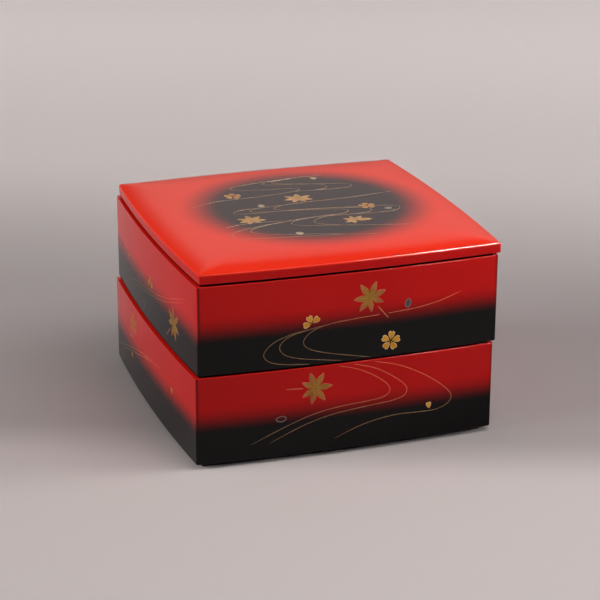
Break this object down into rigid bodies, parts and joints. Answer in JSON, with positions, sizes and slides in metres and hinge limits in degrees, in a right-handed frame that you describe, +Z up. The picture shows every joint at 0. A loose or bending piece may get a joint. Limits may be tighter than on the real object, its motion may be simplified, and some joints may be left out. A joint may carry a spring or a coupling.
{
  "type": "stacked lacquer food box",
  "caption": "Square two-tier stacking food box with bowed sides and a crowned lid, red lacquer shading to black, each piece nesting inside the rim of the one below.",
  "frame": {"origin": "on the table, under the middle of the stack", "axes": "+Z up, the way the lid and the upper tier lift; front face towards -Y, the side seen at the left of the picture towards -X"},
  "size_m": [0.2002, 0.197, 0.1266],
  "materials": {
    "lid_lacquer": "gloss red lacquer over wood, with a soft black round and gold decoration",
    "tier_lacquer": "gloss red lacquer shading to black towards the foot, over wood; black inside",
    "black_lacquer": "satin black lacquer over wood",
    "spline_wood": "bare wood, hidden in the mitres",
    "gold_powder": "gold powder set in the lacquer: flowing water, maple leaves and blossom; a surface finish, with no solid of its own",
    "silver_powder": "silver powder set in the lacquer: a few loose petals; a surface finish, with no solid of its own"
  },
  "bodies": {
    "lower_tier": {"lower_front_board": "tier_lacquer", "lower_right_board": "tier_lacquer", "lower_back_board": "tier_lacquer", "lower_left_board": "tier_lacquer", "lower_bottom_board": "black_lacquer", "lower_foot_front": "black_lacquer", "lower_foot_right": "black_lacquer", "lower_foot_back": "black_lacquer", "lower_foot_left": "black_lacquer", "lower_corner_splines": "spline_wood"},
    "upper_tier": {"upper_front_board": "tier_lacquer", "upper_right_board": "tier_lacquer", "upper_back_board": "tier_lacquer", "upper_left_board": "tier_lacquer", "upper_bottom_board": "black_lacquer", "upper_foot_front": "black_lacquer", "upper_foot_right": "black_lacquer", "upper_foot_back": "black_lacquer", "upper_foot_left": "black_lacquer", "upper_corner_splines": "spline_wood"},
    "lid": {"lid_panel": "lid_lacquer", "lid_rim_front": "lid_lacquer", "lid_rim_right": "lid_lacquer", "lid_rim_back": "lid_lacquer", "lid_rim_left": "lid_lacquer"}
  },
  "joints": [
    {"name": "upper_tier_lift", "type": "slide", "parent": "lower_tier", "child": "upper_tier", "axis": [0, 0, 1], "range_m": [0, 0.12]},
    {"name": "lid_lift", "type": "slide", "parent": "upper_tier", "child": "lid", "axis": [0, 0, 1], "range_m": [0, 0.12]}
  ]
}
